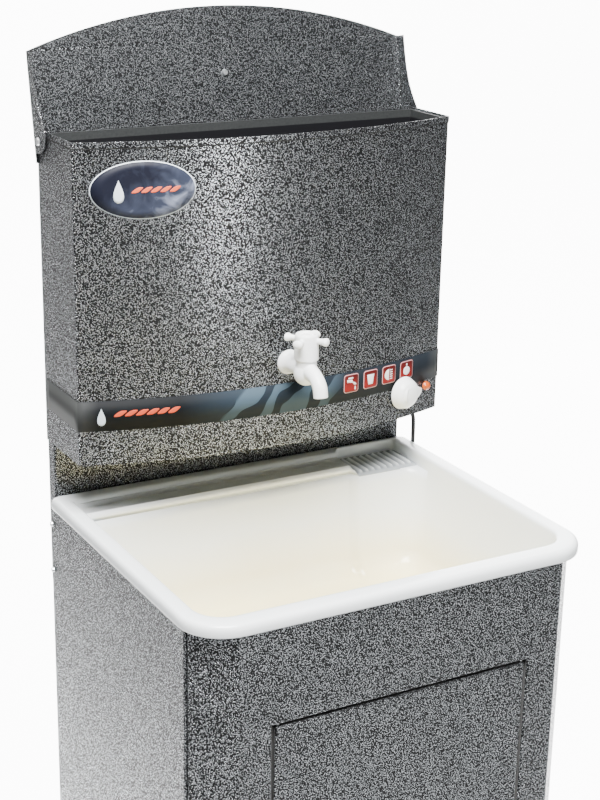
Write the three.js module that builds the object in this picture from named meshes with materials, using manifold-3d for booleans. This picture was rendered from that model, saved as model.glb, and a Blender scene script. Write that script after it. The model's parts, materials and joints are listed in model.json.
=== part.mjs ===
// A portable handwash sink: a steel cabinet with a plastic sink on it, and behind the sink an upright
// that carries a heated water tank with a tap, a thermostat, a hinged lid and a mains lead.
// Millimetres, +Z up, front towards -Y. Y counts from the rear plane of the upright, and the whole
// product is then moved so that the origin is at the bottom centre of the sink without its lead.
import * as THREE from "three";
import { mergeVertices } from "three/addons/utils/BufferGeometryUtils.js";
import Module from "manifold-3d";

const wasm = await Module();
wasm.setup();

// Driving dimensions.
const REAR_PLANE_Y = 206.25; // from the origin to the rear plane of the upright
const SHEET = 1; // steel sheet
const GAP = 0.3; // between pieces that touch
const RIM_Z = 804; // top of the sink's rim

const CABINET = { half: 245, rearY: -9, foldY: -385, frontY: -427.3, frontHalf: 204, bottomZ: 12 };
const FLANGE = 14; // folded edges of the cabinet's sheets
const DOOR = { half: 160, bottomZ: 98, topZ: 675, sideGap: 4, endGap: 3, depth: 11 };
const HINGE = { x: -155, y: -421.8, radius: 2, hole: 2.4 };
const UPRIGHT = { half: 242, faceY: -19.4, bottomZ: 678, topZ: 1215 };
const SINK = { half: 250, rearY: -19.7, frontY: -430.3, plate: 2.5, lipZ: 790, wall: 2.5 };
const BASIN = { half: 229, rearY: -78.5, frontY: -404, floorZ: 650, bend: 22 };
const DRAIN = { x: 0, y: -240, radius: 18 };
const TANK = { half: 243.4, cornerY: -103.6, bow: 40.5, bottomZ: 869.6, topZ: 1240.5 };
const TANK_REAR_Y = -22.4; // inner face of the casing's rear wall
const WATER = { inset: 4, bottomZ: 942, topZ: 1238 };
const LID = { half: 245.8, pivotY: -9.8, pivotZ: 1227.2, rise: 14.7, front: 100, bow: 44, rear: 24 };
const LID_OPEN_DEG = 100.35; // from closed to leaning back on the casing's rear edges
const TAP = { x: 4, axisY: -187.5, pipeZ: 973.5, topZ: 1019, skirtZ: 988 };
const KNOB = { x: 178, z: 904, radius: 20.8, height: 18 };
const LAMP = { x: 219.5, z: 904, radius: 5.8 };
const BAND = { bottomZ: 911, topZ: 947 };
const BADGE = { x: -169, z: 1187, width: 116, height: 65 };
const CORD_RADIUS = 2.7;
const COIL = { x: 221.3, y: 35, inner: 24.6, outer: 35.4, height: 10.8 };
// The lead's free stretches: from the strain relief to the coil, and from the coil to the plug.
const CORD_DROP = [
  [243.7, -38.5, 846.6], [247.6, -38.5, 843.5], [251.1, -38.5, 838.9], [253.3, -38.5, 833.6],
  [254, -38.5, 827.9], [254.3, -38.6, 800], [254.6, -38.9, 740], [254.9, -39.2, 660],
  [255, -39.4, 560], [255, -39.5, 460], [254.8, -39.3, 360], [254.5, -39, 260],
  [254.2, -38.7, 160], [254, -38.5, 90], [254, -38.5, 34.7], [254, -36.1, 22.5],
  [254, -29.1, 12.1], [254, -18.7, 5.1], [254, -6.5, 2.7], [254, 4, 2.7], [254, 14.5, 2.7],
];
const CORD_TAIL = [
  [184, 43.9, 7.6], [176, 36.5, 5.6], [166.5, 29.8, 3.9], [155.5, 24.6, 2.9], [143.5, 21.6, 3.1],
  [132, 20.4, 5.6], [121.5, 20.1, 10.4], [112, 20, 15], [102, 20, 17.8], [92, 20, 18.5],
];
const PLUG = { x: 91.7, y: 20, z: 18.5, radius: 18.4 };

const finish = (color, roughness, metalness = 0) =>
  new THREE.MeshStandardMaterial({ color, roughness, metalness });
const COLOURS = {
  hammered: () => finish(0x7b7d80, 0.42, 0.5),
  white: () => finish(0xf3f4f2, 0.3),
  black: () => finish(0x1a1b1d, 0.45),
  zinc: () => finish(0xb9bcc0, 0.35, 0.9),
  brass: () => finish(0xb8954a, 0.35, 0.9),
  rubber: () => finish(0x242424, 0.8),
  amber: () => finish(0xe0662c, 0.25),
  label: () => finish(0x46525f, 0.4),
  badge: () => finish(0x9fb2c6, 0.35),
};

const product = new THREE.Group();
product.position.y = REAR_PLANE_Y;

function add(name, geometry, colour, parent = product) {
  const mesh = new THREE.Mesh(geometry, COLOURS[colour]());
  mesh.name = name;
  parent.add(mesh);
  return mesh;
}

// --- solids: a geometry made into a manifold, and back ---

function solid(geometry) {
  const bare = geometry.clone();
  bare.deleteAttribute("normal");
  bare.deleteAttribute("uv");
  const merged = mergeVertices(bare, 1e-3);
  return new wasm.Manifold(new wasm.Mesh({
    numProp: 3,
    vertProperties: new Float32Array(merged.attributes.position.array),
    triVerts: new Uint32Array(merged.index.array),
  }));
}

function geometryOf(made) {
  const mesh = made.getMesh();
  const geometry = new THREE.BufferGeometry();
  geometry.setAttribute("position", new THREE.BufferAttribute(new Float32Array(mesh.vertProperties), 3));
  geometry.setIndex(new THREE.BufferAttribute(new Uint32Array(mesh.triVerts), 1));
  geometry.computeVertexNormals();
  return geometry;
}

const join = (...geometries) =>
  geometryOf(geometries.map(solid).reduce((whole, piece) => whole.add(piece)));
const cut = (geometry, ...tools) =>
  geometryOf(tools.map(solid).reduce((rest, tool) => rest.subtract(tool), solid(geometry)));

// --- basic shapes ---

function box(x0, x1, y0, y1, z0, z1) {
  return new THREE.BoxGeometry(x1 - x0, y1 - y0, z1 - z0)
    .translate((x0 + x1) / 2, (y0 + y1) / 2, (z0 + z1) / 2);
}

const plan = (points) => new THREE.Shape(points.map(([x, y]) => new THREE.Vector2(x, y)));

// A plan outline made into a slab between two heights.
function slab(outline, z0, z1, curveSegments = 6) {
  const shape = Array.isArray(outline) ? plan(outline) : outline;
  return new THREE.ExtrudeGeometry(shape, { depth: z1 - z0, bevelEnabled: false, curveSegments })
    .translate(0, 0, z0);
}

// A profile of [radius, height] turned about Z.
function turned(profile, segments = 16) {
  return new THREE.LatheGeometry(profile.map(([r, z]) => new THREE.Vector2(r, z)), segments)
    .rotateX(Math.PI / 2);
}

const rod = (radius, z0, z1, segments = 16) =>
  turned([[0, z0], [radius, z0], [radius, z1], [0, z1]], segments);

// Turns a piece made along +Z so that it points along -Y, or along +X or -X.
const alongFront = (geometry) => geometry.rotateX(Math.PI / 2);
const alongX = (geometry, sign) => geometry.rotateY(sign * Math.PI / 2);

// The line moved sideways by a distance, to the left of its direction, with mitred corners.
function moved(points, distance, closed = false) {
  const count = points.length;
  const direction = (a, b) => new THREE.Vector2(b[0] - a[0], b[1] - a[1]).normalize();
  return points.map((point, i) => {
    const before = closed || i > 0 ? direction(points[(i + count - 1) % count], point) : null;
    const after = closed || i < count - 1 ? direction(point, points[(i + 1) % count]) : null;
    const a = before ?? after;
    const b = after ?? before;
    const normal = new THREE.Vector2(-a.y - b.y, a.x + b.x).normalize();
    const stretch = distance / normal.dot(new THREE.Vector2(-a.y, a.x));
    return [point[0] + normal.x * stretch, point[1] + normal.y * stretch];
  });
}

// A sheet whose outer line is the path and whose thickness lies to the left of it.
const sheet = (path, z0, z1, thickness = SHEET) =>
  slab([...path, ...moved(path, thickness).reverse()], z0, z1);

const mirrored = (points) => points.map(([x, y]) => [-x, y]).reverse();
const bothSides = (points) => [...points, ...mirrored(points)];

// A screw or rivet along +Z: its head's underside is at z = 0 and its shank reaches down.
const screw = (shank, length, head, headHeight) =>
  turned([[0, -length], [shank, -length], [shank, 0], [head, 0], [head * 0.8, headHeight], [0, headHeight]], 12);

// --- the tank's bowed front ---

const BOW_RADIUS = (TANK.half ** 2 + TANK.bow ** 2) / (2 * TANK.bow);
const bowY = (x) => TANK.cornerY - TANK.bow + BOW_RADIUS - Math.sqrt(BOW_RADIUS ** 2 - x ** 2);
const BOW_STEPS = 24;
const TANK_FRONT = Array.from({ length: BOW_STEPS + 1 }, (_, i) => {
  const x = TANK.half * (2 * i / BOW_STEPS - 1);
  return [x, bowY(x)];
});
// The casing's sheet from the rear left edge round the front to the rear right edge.
const CASING_PATH = [[-TANK.half, 0], ...TANK_FRONT, [TANK.half, 0]];

// A closed outline inside the casing, inset from its outer face and ending at a rear line.
function casingInset(inset, rearY) {
  const line = moved(CASING_PATH, inset);
  line[0] = [line[0][0], rearY];
  line[line.length - 1] = [line.at(-1)[0], rearY];
  return line;
}

// A group at the bowed front whose +Z points straight out of the wall.
function onFront(x, z) {
  const group = new THREE.Group();
  group.position.set(x, bowY(x), z);
  group.rotation.order = "ZXY";
  group.rotation.set(Math.PI / 2, 0, Math.asin(x / BOW_RADIUS));
  product.add(group);
  return group;
}

// A hole through the front wall, straight through it at x.
function frontHole(radius, x, z, reach = 12) {
  return alongFront(rod(radius, -reach, reach))
    .rotateZ(Math.asin(x / BOW_RADIUS))
    .translate(x, bowY(x), z);
}

// --- cabinet ---

const FOOT = { x: 233, frontY: -355, rearY: -45, radius: 11.5, hole: 3.5 };
const FOOT_PLACES = { front: FOOT.frontY, rear: FOOT.rearY };
const PAN_Z = CABINET.bottomZ + SHEET + GAP;
const SIDE_TOP_Z = RIM_Z - SINK.plate - 1;
const SCREW_Y = -14;
const SCREW_Z = [705, 765];

const footHoles = () => [-1, 1].flatMap((side) => Object.values(FOOT_PLACES).map((y) =>
  rod(FOOT.hole, 5, 25, 12).translate(side * FOOT.x, y, 0)));
const screwHoles = () => SCREW_Z.map((z) =>
  alongX(rod(2.4, -10, 10, 12), 1).translate(UPRIGHT.half, SCREW_Y, z));

function sidePanel() {
  const { half, rearY, foldY, bottomZ } = CABINET;
  const path = [[half - FLANGE, foldY], [half, foldY], [half, rearY]];
  const wall = sheet(path, bottomZ, SIDE_TOP_Z);
  const bottomFlange = box(half - 21, half - SHEET / 2, foldY + 0.5, rearY, bottomZ, bottomZ + SHEET);
  return cut(join(wall, bottomFlange), ...footHoles(), ...screwHoles());
}

function frontPanel() {
  const { half, foldY, frontY, frontHalf, bottomZ } = CABINET;
  const seamY = foldY - GAP;
  const right = [[frontHalf, frontY], [half, seamY], [half - FLANGE, seamY]];
  const wall = sheet([...mirrored(right), ...right], bottomZ, SIDE_TOP_Z);
  const x = DOOR.half + DOOR.sideGap;
  const z0 = DOOR.bottomZ - DOOR.endGap;
  const z1 = DOOR.topZ + DOOR.endGap;
  const backY = frontY + FLANGE - 2;
  const frame = cut(
    box(-x - SHEET, x + SHEET, frontY + SHEET / 2, backY, z0 - SHEET, z1 + SHEET),
    box(-x, x, frontY - 5, backY + 5, z0, z1));
  const pin = rod(HINGE.hole, -20, 20, 12);
  return cut(join(wall, frame), box(-x, x, frontY - 5, frontY + 5, z0, z1),
    pin.clone().translate(HINGE.x, HINGE.y, z0), pin.clone().translate(HINGE.x, HINGE.y, z1));
}

function bottomPan() {
  const right = [[202, -424.5], [229, -396], [229, -383.4], [243.5, -383.4], [243.5, -22]];
  const outline = bothSides(right.slice().reverse()).reverse();
  const tray = slab(outline, PAN_Z, PAN_Z + 14);
  const hollow = slab(moved(outline, SHEET, true), PAN_Z + SHEET, PAN_Z + 20);
  return cut(tray, hollow, ...footHoles());
}

function cabinet() {
  add("right_side_panel", sidePanel(), "hammered");
  const left = sidePanel().applyMatrix4(new THREE.Matrix4().makeScale(-1, 1, 1));
  left.setIndex(Array.from(left.index.array).reverse());
  add("left_side_panel", left, "hammered");
  add("front_panel", frontPanel(), "hammered");
  add("bottom_pan", bottomPan(), "hammered");
  const rail = sheet([[60, -24], [60, -11], [100, -11], [100, -24]].reverse(), -243.6, 243.6);
  add("lower_rear_rail", rail.rotateY(-Math.PI / 2), "hammered");
  const foot = turned([[0, 0], [10, 0], [FOOT.radius, 2], [FOOT.radius, 11.7], [3, 11.7], [3, 14.7],
    [4, 14.9], [4, 16.5], [2, 20], [0, 20]], 12);
  for (const [side, sign] of [["left", -1], ["right", 1]]) {
    for (const [end, y] of Object.entries(FOOT_PLACES)) {
      add(`foot_${end}_${side}`, foot.clone().translate(sign * FOOT.x, y, 0), "black");
    }
  }
}

function door() {
  const group = new THREE.Group();
  product.add(group);
  const { half, bottomZ, topZ, depth } = DOOR;
  const y = CABINET.frontY;
  const pan = cut(box(-half, half, y, y + depth, bottomZ, topZ),
    box(-half + SHEET, half - SHEET, y + SHEET, y + depth + 5, bottomZ + SHEET, topZ - SHEET));
  const pinHole = rod(HINGE.hole, bottomZ - 10, topZ + 10, 12).translate(HINGE.x, HINGE.y, 0);
  add("door_panel", cut(pan, pinHole), "hammered", group);
  const knob = turned([[0, 0], [8, 0], [7, 8], [13, 13], [14, 18], [10, 22], [0, 23]], 20);
  add("door_knob", alongFront(knob).translate(125, y - GAP, 400), "white", group);
  const pin = turned([[0, 0], [HINGE.radius, 0], [HINGE.radius, 10.7], [4, 10.7], [4, 13], [0, 13]], 12);
  add("hinge_pin_upper", pin.clone().translate(HINGE.x, HINGE.y, topZ - 6), "zinc");
  add("hinge_pin_lower", pin.clone().rotateX(Math.PI).translate(HINGE.x, HINGE.y, bottomZ + 6), "zinc");
  const backY = CABINET.frontY + FLANGE - 2;
  const x = DOOR.half + DOOR.sideGap + SHEET + GAP;
  const catchPlan = [[142, backY + GAP], [x, backY + GAP], [x, backY - 9], [x + 4, backY - 9],
    [x + 4, backY + 12], [142, backY + 12]];
  add("door_catch", slab(catchPlan, 380, 420), "black");
}

function upright() {
  const { half, faceY, bottomZ, topZ } = UPRIGHT;
  const channel = sheet([[-half, 0], [-half, faceY], [half, faceY], [half, 0]], bottomZ, topZ);
  const corner = alongX(slab([[-1, -1], [11, -1], [-1, 11]], -half - 5, half + 5), 1)
    .rotateX(-Math.PI / 2).translate(0, 0, bottomZ);
  const holes = [-1, 1].flatMap((side) => screwHoles().map((hole) =>
    side > 0 ? hole : hole.translate(-2 * half, 0, 0)));
  add("rear_upright", cut(channel, corner, ...holes, ...tankBoltHoles()), "hammered");
  let count = 0;
  for (const side of [-1, 1]) {
    for (const z of SCREW_Z) {
      count += 1;
      const piece = alongX(screw(2, 8, 3.5, 2.2), side);
      add(`upright_screw_${count}`, piece.translate(side * (CABINET.half + GAP), SCREW_Y, z), "zinc");
    }
  }
}

// --- sink ---

function rounded(half, rearY, frontY, rearRadius, frontRadius) {
  const shape = new THREE.Shape();
  shape.moveTo(-half, rearY - rearRadius);
  shape.lineTo(-half, frontY + frontRadius);
  shape.absarc(-half + frontRadius, frontY + frontRadius, frontRadius, Math.PI, Math.PI * 1.5);
  shape.absarc(half - frontRadius, frontY + frontRadius, frontRadius, -Math.PI / 2, 0);
  shape.absarc(half - rearRadius, rearY - rearRadius, rearRadius, 0, Math.PI / 2);
  shape.absarc(-half + rearRadius, rearY - rearRadius, rearRadius, Math.PI / 2, Math.PI);
  return shape;
}

// A tub open at the top, with a rounded edge round its floor.
function tub(grow) {
  const bend = BASIN.bend + grow;
  const floor = BASIN.floorZ - grow;
  const shape = rounded(BASIN.half + grow, BASIN.rearY + grow, BASIN.frontY - grow, 27 + grow, 34 + grow);
  return new THREE.ExtrudeGeometry(shape, {
    depth: 180, bevelThickness: bend, bevelSize: bend, bevelOffset: -bend, bevelSegments: 3,
    curveSegments: 5,
  }).translate(0, 0, floor + bend);
}

function sink() {
  const { half, rearY, frontY, plate, lipZ, wall } = SINK;
  const underZ = RIM_Z - plate;
  const shelf = { z: 792, ridgeZ: 798, rearY: -43, frontY: -74, right: 134 };
  const soap = { z: 789, rearY: -30, frontY: -90, left: 140, right: 226 };
  const rim = slab(rounded(half, rearY, frontY, 8, 52), underZ, RIM_Z, 8);
  const lip = cut(slab(rounded(half, rearY, frontY, 8, 52), lipZ, underZ + 1, 8),
    slab(rounded(half - 2, rearY, frontY + 2, 0.5, 50), lipZ - 5, underZ + 5, 8),
    box(-half - 5, half + 5, rearY - 9, rearY + 5, lipZ - 5, underZ));
  const trough = box(-BASIN.half - wall, shelf.right + wall, shelf.frontY - 4, shelf.rearY + wall,
    shelf.z - wall, underZ + 1);
  const soapTray = box(shelf.right + wall, BASIN.half + wall, soap.frontY, soap.rearY + wall,
    soap.z - wall, underZ + 1);
  const tubOutside = cut(tub(wall), box(-400, 400, -600, 100, underZ + 1, 1100));
  const notch = box(shelf.right + 5, 300, soap.frontY, 0, 500, soap.z);
  const hollow = cut(tub(0), notch);
  const troughHollow = slab([[-226, shelf.rearY], [112, shelf.rearY], [shelf.right, shelf.frontY],
    [-226, shelf.frontY]], shelf.z, RIM_Z + 5);
  const soapHollow = box(soap.left, soap.right, soap.frontY - 5, soap.rearY, soap.z, RIM_Z + 5);
  const opening = slab(rounded(BASIN.half, -60, BASIN.frontY, 1, 30), shelf.ridgeZ, RIM_Z + 5);
  const ridgeTop = box(-226, shelf.right, -80, -70, shelf.ridgeZ, RIM_Z + 5);
  const behindNotch = box(shelf.right + 5 + wall, 300, soap.frontY + wall, -60, 500, soap.z - wall);
  const drainHole = rod(DRAIN.radius, 600, 700).translate(DRAIN.x, DRAIN.y, 0);
  const keepSoap = cut(opening, box(shelf.right + 1, 300, -85, 0, 500, 1000));
  const shell = cut(join(rim, lip, trough, soapTray, tubOutside), hollow, troughHollow, soapHollow,
    keepSoap, ridgeTop, behindNotch, drainHole);
  const ribs = Array.from({ length: 9 }, (_, i) =>
    box(145 + 9 * i, 148.5 + 9 * i, -83, -35, soap.z - 0.5, soap.z + 3.5));
  add("sink_basin", join(shell, ...ribs), "white");

  const floorTop = BASIN.floorZ;
  const floorUnder = floorTop - wall;
  const strainer = turned([[0, floorTop - 1], [13.5, floorTop - 1], [13.5, floorUnder - 40],
    [15.8, floorUnder - 40], [15.8, floorTop + GAP], [26, floorTop + GAP], [25, floorTop + 2.5],
    [17, floorTop + 2], [0, floorTop + 1.5]], 20);
  add("drain_strainer", strainer.translate(DRAIN.x, DRAIN.y, 0), "zinc");
  const ring = (inner, outer, z0, z1) => turned([[inner, z0], [outer, z0], [outer, z1], [inner, z1],
    [inner, z0]], 20).translate(DRAIN.x, DRAIN.y, 0);
  add("drain_gasket", ring(17, 27, floorUnder - GAP - 3, floorUnder - GAP), "rubber");
  add("drain_nut", ring(16.4, 25, floorUnder - 13, floorUnder - 3.6), "white");
  add("drain_tailpiece", ring(16.4, 20, floorUnder - 110, floorUnder - 14), "white");
}

// --- tank ---

const BOLT_X = 150;
const BOLT_Z = 905;
const tankBoltHoles = () => [-1, 1].map((side) =>
  alongFront(rod(3.4, -40, 40, 12)).translate(side * BOLT_X, 0, BOLT_Z));
const HEATER = { x: 130, rearY: -58, frontY: -88, flangeY: -73 };
const PROBE = { x: 60, y: -40 };
const GLAND = { x: 232, y: -38.5, topZ: 866 };
const LID_RIVET_HOLE = 2.9;

function tankCasing() {
  const { bottomZ, topZ, half } = TANK;
  const wrap = sheet(CASING_PATH, bottomZ, topZ - 2);
  const hem = sheet(moved(CASING_PATH, -0.9), topZ - 9.5, topZ, 1.4);
  const rear = box(-half + 0.5, half - 0.5, TANK_REAR_Y, TANK_REAR_Y + SHEET, bottomZ + 1, topZ - 1);
  const rivets = alongX(rod(LID_RIVET_HOLE, -300, 300, 12), 1).translate(0, LID.pivotY, LID.pivotZ);
  // The side walls' rear corners are cut off, because the lid's underside swings past them.
  const corners = slab([[8.8, topZ + 2.85], [-4.4, topZ - 5.7], [-4.4, topZ + 2.85]], -300, 300)
    .rotateX(Math.PI / 2).rotateZ(-Math.PI / 2);
  return cut(join(wrap, hem, rear), rivets, corners, ...tankBoltHoles(),
    frontHole(7.6, TAP.x, TAP.pipeZ), frontHole(5.4, KNOB.x, KNOB.z), frontHole(4.9, LAMP.x, LAMP.z));
}

function waterTank() {
  const { bottomZ, topZ, inset } = WATER;
  const outer = slab(casingInset(inset, TANK_REAR_Y - 2.6), bottomZ, topZ);
  const flange = slab(casingInset(SHEET + 0.4, TANK_REAR_Y - 0.4), topZ - SHEET, topZ);
  const inner = slab(casingInset(inset + SHEET, TANK_REAR_Y - 3.6), bottomZ + SHEET, topZ + 5);
  const hole = (r, x, y) => rod(r, bottomZ - 10, bottomZ + 10).translate(x, y, 0);
  return cut(join(outer, flange), inner, frontHole(7.6, TAP.x, TAP.pipeZ, 20),
    hole(10.5, HEATER.x, HEATER.flangeY), hole(3.4, PROBE.x, PROBE.y));
}

function heater() {
  const z0 = WATER.bottomZ + SHEET + 10;
  const points = [[HEATER.x + 8, HEATER.flangeY + 6, z0], [HEATER.x + 6, HEATER.rearY, z0 + 14],
    [HEATER.x - 12, HEATER.rearY, z0 + 22], [40, HEATER.rearY, z0 + 22], [-60, HEATER.rearY, z0 + 22],
    [-82, HEATER.rearY - 6, z0 + 22], [-88, HEATER.flangeY, z0 + 22], [-82, HEATER.frontY + 6, z0 + 22],
    [-60, HEATER.frontY, z0 + 22], [40, HEATER.frontY, z0 + 22], [HEATER.x - 12, HEATER.frontY, z0 + 22],
    [HEATER.x + 6, HEATER.frontY, z0 + 14], [HEATER.x + 8, HEATER.flangeY - 6, z0]];
  add("heater_element", hose(points, 4, 44), "zinc");
  const flange = turned([[0, -24], [10, -24], [10, 1.6], [18, 1.6], [18, 6], [0, 6]], 16);
  const base = WATER.bottomZ + SHEET;
  add("heater_flange", flange.translate(HEATER.x, HEATER.flangeY, base), "brass");
  const ring = (inner, outer, z0, z1) => turned([[inner, z0], [outer, z0], [outer, z1], [inner, z1],
    [inner, z0]], 16).translate(HEATER.x, HEATER.flangeY, 0);
  add("heater_gasket", ring(10.6, 16, base + GAP, base + 1.3), "rubber");
  add("heater_nut", ring(10.4, 17, WATER.bottomZ - 7, WATER.bottomZ - GAP), "brass");
}

// A round hose or tube of 8 sides along a smooth line through the points.
function hose(points, radius, steps) {
  const curve = new THREE.CatmullRomCurve3(points.map((p) => new THREE.Vector3(...p)), false, "centripetal");
  const section = new THREE.Shape(Array.from({ length: 8 }, (_, i) => {
    const angle = (i + 0.5) * Math.PI / 4;
    return new THREE.Vector2(radius * Math.cos(angle), radius * Math.sin(angle));
  }));
  return new THREE.ExtrudeGeometry(section, { steps, bevelEnabled: false, extrudePath: curve });
}

function electrics() {
  const knobPlace = onFront(KNOB.x, KNOB.z);
  const body = turned([[0, -30], [20, -30], [20, -8], [14, -4], [5, -4], [5, 2.5], [3.4, 2.5],
    [3.4, -10], [0, -10]]);
  add("thermostat_body", body, "black", knobPlace);
  add("thermostat_shaft", rod(3, -9, 9, 12), "zinc", knobPlace);
  const dome = turned([[0, 9.5], [3.3, 9.5], [3.3, 3.2], [18.2, 3.2], [18.8, 2],
    [KNOB.radius, 2], [KNOB.radius, 4], [20, 7], [18, KNOB.height - 5], [12, KNOB.height],
    [0, KNOB.height + 1]], 24);
  const pointer = slab([[12, -7], [22, -5.5], [27, 0], [22, 5.5], [12, 7]], 5, KNOB.height - 3);
  add("thermostat_knob", join(dome, pointer), "white", knobPlace);

  const lampPlace = onFront(LAMP.x, LAMP.z);
  const holder = turned([[0, -22], [4.5, -22], [4.5, 1], [0, 1]]);
  add("indicator_holder", holder, "black", lampPlace);
  const lens = turned([[0, 1 + GAP], [LAMP.radius, 1 + GAP], [LAMP.radius, 4], [3.5, 7.5], [0, 8.5]], 8);
  add("indicator_lens", lens, "amber", lampPlace);

  const probeZ = WATER.bottomZ + SHEET;
  const bulb = rod(3, probeZ - 12, probeZ + 62, 12).translate(PROBE.x, PROBE.y, 0);
  add("thermostat_probe", bulb, "zinc");
  add("terminal_block", box(20, 70, -75, -50, 872, 890), "white");
}

function bandLabel() {
  const front = moved(CASING_PATH, -0.7);
  front[0] = [front[0][0], -2];
  front[front.length - 1] = [front.at(-1)[0], -2];
  return sheet(front, BAND.bottomZ, BAND.topZ, 0.4);
}

function ovalBadge() {
  const skin = sheet(moved(TANK_FRONT, -0.7), BADGE.z - 50, BADGE.z + 50, 0.4);
  const oval = alongFront(rod(1, -300, 300, 32))
    .applyMatrix4(new THREE.Matrix4().makeScale(BADGE.width / 2, 1, BADGE.height / 2))
    .translate(BADGE.x, 0, BADGE.z);
  return geometryOf(solid(skin).intersect(solid(oval)));
}

function tank() {
  add("tank_casing", tankCasing(), "hammered");
  add("water_tank", waterTank(), "black");
  const bottomZ = TANK.bottomZ + 1;
  const inset = SHEET + GAP;
  const pan = cut(slab(casingInset(inset, TANK_REAR_Y - GAP), bottomZ, bottomZ + 10),
    slab(casingInset(inset + SHEET, TANK_REAR_Y - GAP - SHEET), bottomZ + SHEET, bottomZ + 15));
  const glandHole = rod(5.2, bottomZ - 10, bottomZ + 10).translate(GLAND.x, GLAND.y, 0);
  const boltClear = [-1, 1].map((side) => alongFront(rod(8, -30, 30)).translate(side * BOLT_X, -20, BOLT_Z));
  add("casing_bottom", cut(pan, glandHole, ...boltClear), "hammered");
  [-1, 1].forEach((side, i) => {
    const bolt = turned([[0, -8], [3, -8], [3, 0], [6, 0], [6, 4], [0, 4]], 12).rotateX(-Math.PI / 2);
    add(`tank_bolt_${i + 1}`, bolt.translate(side * BOLT_X, UPRIGHT.faceY + SHEET + GAP, BOLT_Z), "zinc");
  });
  heater();
  electrics();
  add("band_label", bandLabel(), "label");
  add("oval_badge", ovalBadge(), "badge");
}

// --- tap ---

function tap() {
  const { x, axisY, pipeZ, topZ, skirtZ } = TAP;
  const wallY = bowY(0);
  const place = (geometry) => geometry.translate(x, 0, 0);
  const onPipe = (geometry) => alongFront(geometry).translate(0, 0, pipeZ);
  const reach = wallY - axisY;
  const pipe = turned([[0, -22], [7, -22], [7, 1], [15, 1], [15, 3.5], [12.5, 8], [10, 12], [10, reach],
    [0, reach]]).translate(0, 0, -wallY);
  const ball = new THREE.SphereGeometry(14.5, 16, 10).translate(0, axisY, pipeZ - 1);
  const barrel = rod(11.8, pipeZ, skirtZ + 9).translate(0, axisY, 0);
  const spoutLine = [[0, axisY - 2, pipeZ + 1], [0, axisY - 14, pipeZ + 1], [0, axisY - 24, pipeZ - 4],
    [0, axisY - 31, pipeZ - 13], [0, axisY - 33, pipeZ - 22]];
  const bore = rod(8, pipeZ - 6, 1100).translate(0, axisY, 0);
  const inlet = onPipe(rod(4, -30, reach - 2)).translate(0, wallY, 0);
  const body = cut(join(onPipe(pipe), ball, barrel, hose(spoutLine, 8.6, 12)),
    bore, inlet, hose([...spoutLine, [0, axisY - 33, pipeZ - 27]], 6.4, 14));
  add("tap_body", place(body), "white");
  const innerY = wallY + SHEET + WATER.inset;
  const nut = turned([[7.5, 0], [14, 0], [14, 8], [7.5, 8], [7.5, 0]], 12).rotateX(-Math.PI / 2);
  add("tap_back_nut", place(nut.translate(0, innerY + 1.9, pipeZ)), "white");
  const gasket = turned([[7.6, 0], [13, 0], [13, 1.2], [7.6, 1.2], [7.6, 0]]).rotateX(-Math.PI / 2);
  add("tap_gasket", place(gasket.translate(0, innerY + 0.4, pipeZ)), "rubber");
  const bonnet = turned([[3.2, skirtZ - 4], [7.7, skirtZ - 4], [7.7, skirtZ + 9.4], [3.2, skirtZ + 9.4],
    [3.2, skirtZ - 4]]);
  add("tap_bonnet", place(bonnet.translate(0, axisY, 0)), "white");
  const washer = rod(6.5, pipeZ - 5.6, pipeZ - 0.4);
  add("tap_washer", place(washer.translate(0, axisY, 0)), "rubber");
  const spindle = turned([[0, pipeZ + 4], [5.5, pipeZ + 4], [5.5, skirtZ - 4.6], [2.8, skirtZ - 4.6],
    [2.8, topZ - 9], [0, topZ - 9]]);
  add("tap_spindle", place(spindle.translate(0, axisY, 0)), "white");
  const cap = turned([[0, topZ - 8.7], [3.1, topZ - 8.7], [3.1, topZ - 18], [12.4, topZ - 18],
    [12.6, skirtZ], [14.2, skirtZ], [14.2, topZ - 3], [12, topZ], [10.5, topZ], [9.5, topZ - 2],
    [5.5, topZ - 2], [4.5, topZ - 1], [0, topZ - 0.6]], 20);
  const lobe = new THREE.Shape();
  lobe.moveTo(10, -3.2);
  lobe.lineTo(16, -2.7);
  lobe.quadraticCurveTo(21, -3, 24, -6);
  lobe.absarc(23.5, 0, 5.6, -Math.PI * 0.42, Math.PI * 0.42);
  lobe.lineTo(24, 6);
  lobe.quadraticCurveTo(21, 3, 16, 2.7);
  lobe.lineTo(10, 3.2);
  const arms = [0, 1, 2, 3].map((i) => slab(lobe, -3.6, 3.6, 4)
    .rotateZ(THREE.MathUtils.degToRad(36.3 + 90 * i)).translate(0, 0, topZ - 7.2));
  add("tap_handle", place(join(cap, ...arms).translate(0, axisY, 0)), "white");
}

// --- lid ---

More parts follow.
